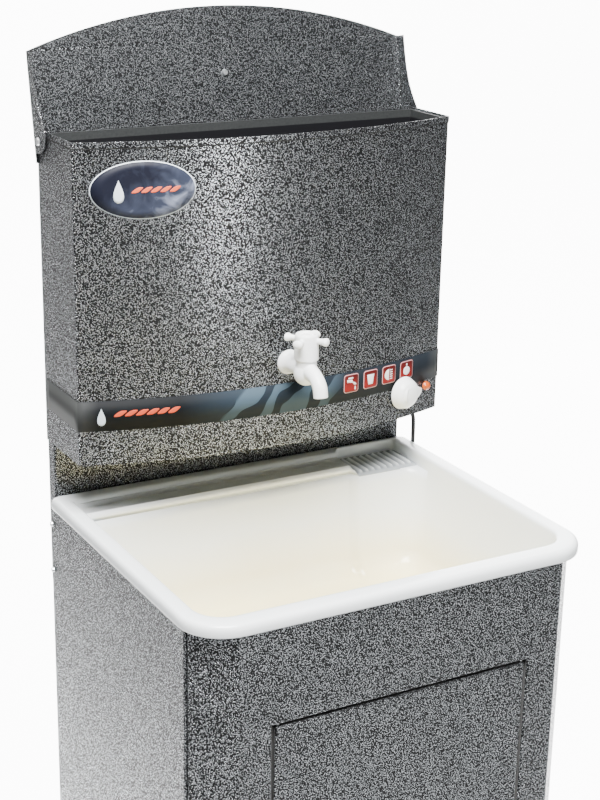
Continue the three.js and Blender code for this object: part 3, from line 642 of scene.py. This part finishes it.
def rounded_square(cx, cz, width, height, radius, steps=6):
    border = []
    for corner in range(4):
        sx = (1, -1, -1, 1)[corner]
        sz = (1, 1, -1, -1)[corner]
        for i in range(steps + 1):
            angle = math.pi / 2 * (corner + i / steps)
            border.append((cx + sx * (width / 2 - radius) + radius * math.cos(angle),
                           cz + sz * (height / 2 - radius) + radius * math.sin(angle)))
    return border


def ellipse(cx, cz, width, height, steps=64):
    return [(cx + width / 2 * math.cos(2 * math.pi * i / steps),
             cz + height / 2 * math.sin(2 * math.pi * i / steps)) for i in range(steps)]


def drop(cx, cz, size, steps=40):
    """A plain water drop."""
    border = []
    for i in range(steps):
        a = 2 * math.pi * i / steps
        border.append((cx + size * 0.62 * math.sin(a) * math.sin(a / 2) ** 1.5, cz + size * math.cos(a)))
    return border


def bar(left, length, z, thickness, lean=1.2):
    """A plain leaning bar with rounded ends, along the bow."""
    border = rounded_square(left + length / 2, z, length, thickness, thickness * 0.42)
    return [(x + (h - z) * lean, h) for x, h in border]


def band():
    path = [(-TANK_HALF, -2)] + [(-TANK_HALF, -2 - (101.6) * i / 8) for i in range(1, 8)]
    front = [(-TANK_HALF + 2 * TANK_HALF * i / 72, bow_y(-TANK_HALF + 2 * TANK_HALF * i / 72))
             for i in range(73)]
    path = path + front + [(-x, y) for x, y in reversed(path)]
    verts, faces = [], []
    for i, (x, y) in enumerate(path):
        before, after = path[max(i - 1, 0)], path[min(i + 1, len(path) - 1)]
        normal = Vector((after[1] - before[1], before[0] - after[0])).normalized()
        for z in (911, 947):
            verts.append(at(x + normal.x * 0.5, y + normal.y * 0.5, z))
    for i in range(len(path) - 1):
        faces.append((2 * i, 2 * i + 2, 2 * i + 3, 2 * i + 1))
    made = piece("band", verts, faces, "band_film", replaces=("band_label",))
    modifier(made, "SOLIDIFY", thickness=0.0002, offset=0)


def band_marks():
    """A plain drop and a bar in place of the printed marks."""
    film("band_drop", drop(-219, 928, 10.5), "band_film", 0.9, BADGE_EDGE)
    for i in range(6):
        film(f"band_bar_{i + 1}", bar(-203 + 12.2 * i, 9.6, 931, 7), "band_film", 0.9, ORANGE_INK)


def icons():
    """Four plain pictograms: tap and drop, cup, half disc and dial."""
    z = 932
    for index, x in enumerate((95, 125, 155, 185)):
        film(f"icon_edge_{index + 1}", rounded_square(x, z, 22, 23, 3.5), "band_film", 0.9, ICON_LINE)
        film(f"icon_face_{index + 1}", rounded_square(x, z, 20.4, 21.4, 2.8), "band_film", 1.05, ICON_RED)
    def mark(name, border):
        film(name, border, "band_film", 1.2, ICON_WHITE)
    mark("icon_tap_pipe", [(88.5, z + 4.6), (88.5, z + 1.4), (99, z + 1.4), (102.3, z - 1), (102.3, z - 2.6),
                           (99.6, z - 2.6), (98, z - 0.6), (96, z + 4.6)])
    mark("icon_tap_handle", rounded_square(94, z + 6.6, 7.5, 1.8, 0.8))
    mark("icon_tap_drop", drop(101, z - 6.2, 2.6))
    mark("icon_cup", [(119.5, z + 6), (121.5, z - 6.5), (128.5, z - 6.5), (130.5, z + 6)])
    mark("icon_half_disc", [(155 + 7 * math.cos(a), z + 7 * math.sin(a))
                            for a in (math.pi / 2 + math.pi * i / 16 for i in range(17))])
    for i in range(5):
        mark(f"icon_ray_{i + 1}", rounded_square(158.6, z + 5.6 - 2.8 * i, 4.2, 1.1, 0.4))
    mark("icon_dial", ellipse(185, z - 1, 11, 11, 32))
    mark("icon_dial_mark", rounded_square(185, z + 7, 2, 3, 0.6))


def badge():
    film("badge_rim", ellipse(-169, 1187, 115.6, 64.6), "badge_film", 0.5, BADGE_EDGE)
    film("badge_face", ellipse(-169, 1187, 113.6, 62.6), "badge_film", 0.62, replaces=("oval_badge",))
    film("badge_drop", drop(-196, 1186, 13), "badge_film", 0.74, BADGE_EDGE)
    for i in range(5):
        film(f"badge_bar_{i + 1}", bar(-180 + 10.4 * i, 8, 1187, 6.5), "badge_film", 0.74, ORANGE_INK)


band()
band_marks()
icons()
badge()


# --- tap, knob and lamp ---

TAP_X, TAP_Y, PIPE_Z = 4, -187.5, 973.5
KNOB_PLACE, LAMP_PLACE = (178, 904), (219.5, 904)


def tap():
    wall = bow_y(0)
    towards_user = Matrix.Translation(at(TAP_X, wall, PIPE_Z)) @ Matrix.Rotation(math.pi / 2, 4, "X")
    flange = placed(turned([(0, 0.6), (14.6, 0.6), (15, 1.4), (15, 3), (14, 4.6), (12, 7), (10.4, 11), (9.6, 16),
                            (9.6, 44), (0, 44)]), towards_user)
    upright = Matrix.Translation(at(TAP_X, TAP_Y, 0))
    ball = placed(turned([(14.6 * math.sin(math.pi * i / 16), PIPE_Z - 1.5 - 15.2 * math.cos(math.pi * i / 16))
                          for i in range(17)]), upright)
    barrel = placed(turned([(0, PIPE_Z), (12.3, PIPE_Z), (12.3, 992), (11.8, 997), (0, 997)]), upright)
    line = smooth_line([(TAP_X, TAP_Y, PIPE_Z + 2), (TAP_X, TAP_Y - 14, PIPE_Z + 1),
                        (TAP_X, TAP_Y - 25, PIPE_Z - 3), (TAP_X, TAP_Y - 32.5, PIPE_Z - 11),
                        (TAP_X, TAP_Y - 35, PIPE_Z - 22)], 6)
    to_frame = Matrix.Translation(Vector((0, REAR, 0)))
    spout = placed(pipe(line, [10.5 - 2 * min(1, i / 12) for i in range(len(line))]), to_frame)
    body = piece("tap_moulding", *merged(flange, ball, barrel, spout), "white_plastic", replaces=("tap_body",))
    moulded(body, 0.0007, 7)
    mouth = [(TAP_X, TAP_Y - 34.3, PIPE_Z - 18), (TAP_X, TAP_Y - 35.2, PIPE_Z - 24)]
    cutter = piece("tap_mouth_cutter", *placed(pipe(mouth, 6.4), to_frame), "white_plastic")
    modifier(body, "BOOLEAN", operation="DIFFERENCE", object=cutter, solver="EXACT")
    apply_modifiers(body)
    bpy.data.objects.remove(cutter)

    cap = turned([(12.2, 988.4), (12.8, 988), (14, 988), (14.3, 989), (14.2, 1000), (13.7, 1014), (13.5, 1017),
                  (12.6, 1018.8), (11.2, 1019), (10, 1018.2), (8.6, 1016.4), (6.6, 1016.2), (5.6, 1017.4),
                  (4.2, 1018), (0, 1018.2), (0, 1003), (11.8, 1002), (12.2, 988.4)], 64)
    shapes = [placed(cap, upright)]
    for i in range(4):
        turn = Matrix.Rotation(math.radians(36.3 + 90 * i), 4, "Z")
        lobe = []
        for s in range(13):
            share = s / 12
            swell = ease(share, 0.45, 0.85)
            round_end = math.sqrt(max(0.02, 1 - max(0, (share - 0.82) / 0.18) ** 2 * 0.85))
            width = (3.1 + 3.4 * swell) * round_end
            height = (3.4 + 1.6 * swell) * round_end
            along = 10 + 17.5 * share
            lobe.append([Vector((along, width * math.cos(a), 1011.6 + height * math.sin(a)))
                         for a in (2 * math.pi * k / 24 for k in range(24))])
        shapes.append(placed(loft(lobe, True, True), upright @ turn))
    handle = piece("tap_cross", *merged(*shapes), "white_plastic", "tap_handle", ("tap_handle",))
    moulded(handle, 0.0006, 5)


def on_front(x, z):
    """The place on the tank's front where +Z points straight out."""
    slope = math.asin(x / BOW_RADIUS)
    return Matrix.Translation(at(x, bow_y(x), z)) @ Matrix.Rotation(slope, 4, "Z") \
        @ Matrix.Rotation(math.pi / 2, 4, "X")


def knob():
    place = on_front(*KNOB_PLACE)
    dome = turned([(0, 2.2), (20.2, 2.2), (20.8, 2.8), (20.8, 4.4), (20, 5.6), (19.4, 8), (18, 12), (15, 15.6),
                   (10, 17.8), (4, 18.6), (0, 18.6)], 64)
    sections = []
    for s in range(11):
        share = s / 10
        half = 8.2 - 5.4 * ease(share, 0.1, 1)
        top = 15.5 - 5 * share ** 2
        sections.append([Vector((12 + 14.6 * share, w, h)) for w, h in
                         ((-half, 5), (-half, top - 2), (-half * 0.7, top), (half * 0.7, top),
                          (half, top - 2), (half, 5))])
    ridge = pipe([(3 + 12.5 * math.cos(a), 12.5 * math.sin(a), 17.6 - 0.012 * (180 - math.degrees(a)) ** 2 / 14)
                  for a in (math.radians(110 + 140 * i / 20) for i in range(21))], 2.0, 16)
    made = piece("knob_moulding", *merged(placed(dome, place), placed(loft(sections, True, True), place),
                                          placed(ridge, place)),
                 "white_plastic", "thermostat_knob", ("thermostat_knob",))
    moulded(made, 0.0006, 5)


def lamp():
    place = on_front(*LAMP_PLACE)
    facets = 10
    rings = []
    for radius, z, shift in ((5.2, 1.3, 0), (5.8, 1.6, 0), (5.8, 3.4, 0), (4.9, 5.9, 0.5), (3.0, 7.8, 0),
                             (0.8, 8.4, 0.5)):
        angles = [2 * math.pi * (i + shift) / facets for i in range(facets)]
        rings.append([Vector((radius * math.cos(a), radius * math.sin(a), z)) for a in angles])
    piece("lamp_lens", *placed(loft(rings, True, True), place), "amber_lens", replaces=("indicator_lens",),
          smooth=False)


tap()
knob()
lamp()


# --- sheet steel ---

SHEET = 1.0
FOLD = 2.2


def moved(points, distance):
    """The line moved sideways, to the left of its direction, with mitred corners."""
    result = []
    for i, point in enumerate(points):
        here = Vector(point)
        before = (here - Vector(points[i - 1])).normalized() if i else None
        after = (Vector(points[i + 1]) - here).normalized() if i < len(points) - 1 else None
        a, b = before or after, after or before
        normal = Vector((-a.y - b.y, a.x + b.x)).normalized()
        result.append(tuple(here + normal * (distance / normal.dot(Vector((-a.y, a.x))))))
    return result


def rounded_folds(points, radius=FOLD, steps=5):
    """The line with each real corner turned into an arc; gentle bends stay as they are."""
    line = [Vector(p) for p in points]
    result = [line[0]]
    for before, corner, after in zip(line, line[1:], line[2:]):
        a, b = before - corner, after - corner
        if a.angle(b) > math.radians(170):
            result.append(corner)
            continue
        reach = min(radius / math.tan(a.angle(b) / 2), 0.45 * a.length, 0.45 * b.length)
        start, end = corner + a.normalized() * reach, corner + b.normalized() * reach
        for i in range(steps + 1):
            t = i / steps
            result.append((1 - t) ** 2 * start + 2 * t * (1 - t) * corner + t * t * end)
    result.append(line[-1])
    return [tuple(p) for p in result]


def wall(outer, heights, inward=1, fold=FOLD, skip=None, trim=None):
    """A sheet standing on a folded line: the outer line and heights, with cells left out and ends trimmed."""
    path = rounded_folds(moved(outer, inward * SHEET / 2), fold)
    verts = []
    for x, y in path:
        for z in heights:
            verts.append(at(x, y, trim(y, z) if trim else z))
    faces = []
    rows = len(heights)
    for i in range(len(path) - 1):
        middle = ((path[i][0] + path[i + 1][0]) / 2, (path[i][1] + path[i + 1][1]) / 2)
        for j in range(rows - 1):
            if skip and skip(*middle, (heights[j] + heights[j + 1]) / 2):
                continue
            a = i * rows + j
            faces.append((a, a + rows, a + rows + 1, a + 1))
    return verts, faces


def steel(name, shape, replaces, body="stand", even=True):
    """A sheet mesh made 1 mm thick, with softened cut edges and flat-looking flats."""
    made = piece(name, *shape, "hammered_paint", body, replaces)
    modifier(made, "SOLIDIFY", thickness=SHEET * MM, offset=0, use_even_offset=even)
    modifier(made, "BEVEL", width=0.0003, segments=2, limit_method="ANGLE", angle_limit=math.radians(45))
    modifier(made, "WEIGHTED_NORMAL", mode="FACE_AREA", weight=50, keep_sharp=False)
    return made


def frame_ring(half, z0, z1, inset, y, corner):
    """A rounded rectangle that faces the front."""
    middle = (z0 + z1) / 2
    return [at(x, y, z) for x, z in
            rounded_square(0, middle, 2 * (half - inset), z1 - z0 - 2 * inset, max(0.3, corner - inset), 4)]


FRONT_Y = -427.3
SIDE_X, CHAMFER_Y, CABINET_BOTTOM = 245, -385.3, 12
DOORWAY = (166.4, 92.6, 680.4)
DOOR = (160, 98, 675)


def shade_lining(name, rings, body):
    """Painted shade: a black lining on a sheet's turned-back edge, standing in for the shadow in the gap."""
    made = piece(name, *loft(rings), "rubber_seal", body)
    modifier(made, "SOLIDIFY", thickness=SHEET * MM, offset=0)


def cabinet():
    top = RIM_Z - 3.5
    half, bottom, head = DOORWAY
    right = [(204, FRONT_Y), (SIDE_X, CHAMFER_Y), (231, CHAMFER_Y)]
    left = [(-x, y) for x, y in reversed(right)]
    cuts = [(-half, FRONT_Y), (half, FRONT_Y)]
    skin = wall(left + cuts + right, (CABINET_BOTTOM, bottom, head, top),
                skip=lambda x, y, z: abs(x) < half and y < FRONT_Y + 2 and bottom < z < head)
    rings = [frame_ring(*DOORWAY, inset, FRONT_Y + depth, 2.2) for inset, depth in
             ((0, 0.5), (0.8, 0.6), (1.4, 1.0), (1.8, 1.7), (1.9, 2.4))]
    steel("cabinet_front", merged(skin, loft(rings)), ("front_panel",))
    # painted shade: the doorway's turned-back edge is lined black, in the rubber_seal material, for the shadow in the
    # door gap
    shade_lining("doorway_shade_lining", [frame_ring(*DOORWAY, 1.9, FRONT_Y + depth, 2.2) for depth in (2.4, 6, 11.5)], "stand")
    for side, sign in (("left", -1), ("right", 1)):
        line = [(sign * 231, -385), (sign * SIDE_X, -385), (sign * SIDE_X, -9)]
        floor_line = [(sign * 244.5, 12.5), (sign * 224, 12.5)]
        skin = wall(line, (CABINET_BOTTOM, top), inward=sign)
        flange = [at(x, y, z) for x, z in floor_line for y in (-384.5, -9)]
        steel(f"cabinet_{side}", merged(skin, (flange, [(0, 1, 3, 2)])), (f"{side}_side_panel",))


def door():
    rings = []
    for inset, depth in ((6, 0.5), (2.6, 0.5), (1.7, 0.65), (1.0, 1.2), (0.6, 2.0), (0.5, 2.6)):
        rings.append(frame_ring(*DOOR, inset, FRONT_Y + depth, 2.6))
    steel("door_skin", loft(rings, cap_start=True), ("door_panel",), "door")
    # painted shade: the door's turned-in edge is lined black, in the rubber_seal material, for the shadow in the gap
    shade_lining("door_shade_lining", [frame_ring(*DOOR, 0.5, FRONT_Y + depth, 2.6) for depth in (2.6, 6, 11)], "door")


def upright():
    line = [(-242, 0), (-242, -3), (-242, -10), (-242, -19.4), (242, -19.4), (242, -10), (242, -3), (242, 0)]
    skin = wall(line, (678, 690, 1215),
                trim=lambda y, z: max(z, 678 + max(0, 10 + y)) if z < 680 else z)
    steel("upright_skin", skin, ("rear_upright",))


TANK_BOTTOM, TANK_TOP = 869.6, 1240.5


def casing():
    front = [(-TANK_HALF + TANK_HALF * i / 36, bow_y(-TANK_HALF + TANK_HALF * i / 36)) for i in range(73)]
    line = [(-TANK_HALF, 0), (-TANK_HALF, -4.4)] + front + [(TANK_HALF, -4.4), (TANK_HALF, 0)]

    def corner(y, z):
        return min(z, TANK_TOP - 2.85 * (1 - min(1, -y / 4.4)))
    skin = wall(line, (TANK_BOTTOM, 910, 1000, 1100, 1200, 1236, TANK_TOP - 0.4), trim=corner)
    proud = [(min(max(x, -243.9), 243.9), y) for x, y in moved(line, -1.4)]
    hem = wall(proud, (TANK_TOP - 6.5, TANK_TOP - 3, TANK_TOP), trim=corner)
    # painted shade: a thin black strip just under the hem, in the rubber_seal material, stands in for the shadow line
    # below the fold
    hem_shadow = wall(moved(line, -0.8), (TANK_TOP - 8, TANK_TOP - 6.6))
    piece("hem_shadow_line", *hem_shadow, "rubber_seal")
    rear = [at(x, -21.9, z) for x in (-TANK_HALF + 0.5, TANK_HALF - 0.5) for z in (TANK_BOTTOM + 1, TANK_TOP - 1)]
    steel("casing_skin", merged(skin, hem, (rear, [(0, 2, 3, 1)])), ("tank_casing",))


LID_HALF, LID_PIVOT, LID_RISE, LID_FRONT, LID_BOW, LID_REAR = 245.8, (-9.8, 1227.2), 14.7, 100, 44, 24
LID_OPEN = math.radians(100.35)


def on_lid(x, front, height):
    """A point of the open lid, from its place on the closed one about the pivot."""
    y, z = -front, height
    c, s = math.cos(-LID_OPEN), math.sin(-LID_OPEN)
    return at(x, LID_PIVOT[0] + y * c - z * s, LID_PIVOT[1] + y * s + z * c)


def lid_flange_end(front):
    """How far the lid's side reaches below the pivot at a distance in front of it."""
    profile = ((-14, 0), (-12.2, -9), (-8.5, -16.5), (-3, -21.6), (4, -23.2), (10, -21.6), (16, -18.2), (28, -12),
               (42, -6.6), (60, -3), (80, -1.1), (100, -0.3))
    for (f0, h0), (f1, h1) in zip(profile, profile[1:]):
        if front <= f1:
            return h0 + (h1 - h0) * (front - f0) / (f1 - f0)
    return profile[-1][1]


def lid():
    middle = SHEET / 2
    edge, plane = LID_HALF - middle, LID_RISE + middle
    radius = (LID_HALF ** 2 + LID_BOW ** 2) / (2 * LID_BOW)
    cross = [(-edge + FOLD * (1 - math.cos(a)), plane - FOLD * (1 - math.sin(a)))
             for a in (math.pi / 2 * i / 5 for i in range(6))]
    flat = [(-edge + FOLD + (2 * edge - 2 * FOLD) * i / 60, plane) for i in range(1, 60)]
    cross = cross + flat + [(-x, h) for x, h in reversed(cross)]
    fronts = [-LID_REAR, -14.01, -14, -13.4, -12.2, -10.5, -8.5, -6, -3, 0, 4, 7, 10, 13, 16, 22, 28, 35, 42, 50, 60,
              70, 80, 90, LID_FRONT]
    verts, faces = [], []
    for front in fronts:
        end = lid_flange_end(front) if front >= -14 else plane - FOLD
        depth = plane - FOLD - end
        side = [(-edge, end + depth * k / 4) for k in range(4)]
        for x, h in side + cross + [(-x, h) for x, h in reversed(side)]:
            verts.append(on_lid(x, front, h))
    columns = len(cross) + 8
    for j in range(len(fronts) - 1):
        for i in range(columns - 1):
            a = j * columns + i
            faces.append((a, a + 1, a + columns + 1, a + columns))
    start = len(verts)
    rows = 8
    for t in range(rows + 1):
        for x, h in cross:
            reach = max(0, math.sqrt(radius ** 2 - x ** 2) - (radius - LID_BOW))
            verts.append(on_lid(x, LID_FRONT + reach * t / rows, h))
    for t in range(rows):
        for i in range(len(cross) - 1):
            a = start + t * len(cross) + i
            faces.append((a, a + 1, a + len(cross) + 1, a + len(cross)))
    made = steel("lid_skin", (verts, faces), ("lid_panel",), "lid", even=False)
    data = bmesh.new()
    data.from_mesh(made.data)
    bmesh.ops.remove_doubles(data, verts=data.verts, dist=0.00002)
    bmesh.ops.dissolve_degenerate(data, dist=0.00002, edges=data.edges)
    data.to_mesh(made.data)
    data.free()


cabinet()
door()
upright()
casing()
lid()


# --- stage and light ---

def stage():
    size = 9
    verts, faces = [], []
    profile = [(-size, 0)] + [(2.4 + 1.2 * math.sin(a), 1.2 - 1.2 * math.cos(a))
                              for a in (math.pi / 2 * i / 12 for i in range(13))] + [(3.6, 7)]
    for y, z in profile:
        verts += [(-size, y, z), (size, y, z)]
    for i in range(len(profile) - 1):
        faces.append((2 * i, 2 * i + 1, 2 * i + 3, 2 * i + 2))
    mesh = bpy.data.meshes.new("backdrop")
    mesh.from_pydata(verts, [], faces)
    for polygon in mesh.polygons:
        polygon.use_smooth = True
    backdrop = bpy.data.objects.new("backdrop", mesh)
    bpy.context.scene.collection.objects.link(backdrop)
    shader = Shader("backdrop_paper", Roughness=0.9)
    x, y, _ = shader.node("SeparateXYZ", {"Vector": shader.coordinates}).outputs
    behind = shader.spread(y, -0.5, 0.3)
    left_end = shader.spread(x, -0.75, -0.2)
    right_end = shader.spread(shader.math("SUBTRACT", x, shader.math("MULTIPLY", y, 0.9)), 1.7, 0.6)
    glow = shader.math("MULTIPLY", shader.math("MULTIPLY", behind, left_end), right_end)
    shader.feed("Emission Strength", shader.spread(glow, 0, 1, 0.02, 11.0))
    shader.surface.inputs["Base Color"].default_value = (0.42, 0.42, 0.42, 1)
    shader.surface.inputs["Emission Color"].default_value = (1, 1, 1, 1)
    mesh.materials.append(shader.material)


def softbox(name, position, target, size, power):
    data = bpy.data.lights.new(name, "AREA")
    data.shape = "RECTANGLE"
    data.size, data.size_y = size
    data.energy = power
    light = bpy.data.objects.new(name, data)
    light.matrix_world = Matrix.Translation(position) @ (target - Vector(position)).to_track_quat("-Z", "Y") \
        .to_matrix().to_4x4()
    bpy.context.scene.collection.objects.link(light)


def surroundings(strength):
    world = bpy.data.worlds.new("studio")
    world.use_nodes = True
    background = world.node_tree.nodes["Background"]
    background.inputs["Color"].default_value = (1, 1, 1, 1)
    background.inputs["Strength"].default_value = strength
    bpy.context.scene.world = world


stage()
MIDDLE = Vector((0, 0, 0.9))
softbox("left_box", (-2.8, 0.7, 1.9), MIDDLE, (1.6, 2.2), 7)
softbox("front_box", (0.6, -2.6, 0.75), Vector((-0.05, -0.14, 1.1)), (0.5, 0.6), 19)
softbox("top_box", (-0.35, -0.68, 2.4), Vector((0, -0.2, 0.8)), (1.0, 0.9), 175)
surroundings(0.06)

bpy.context.view_layer.update()
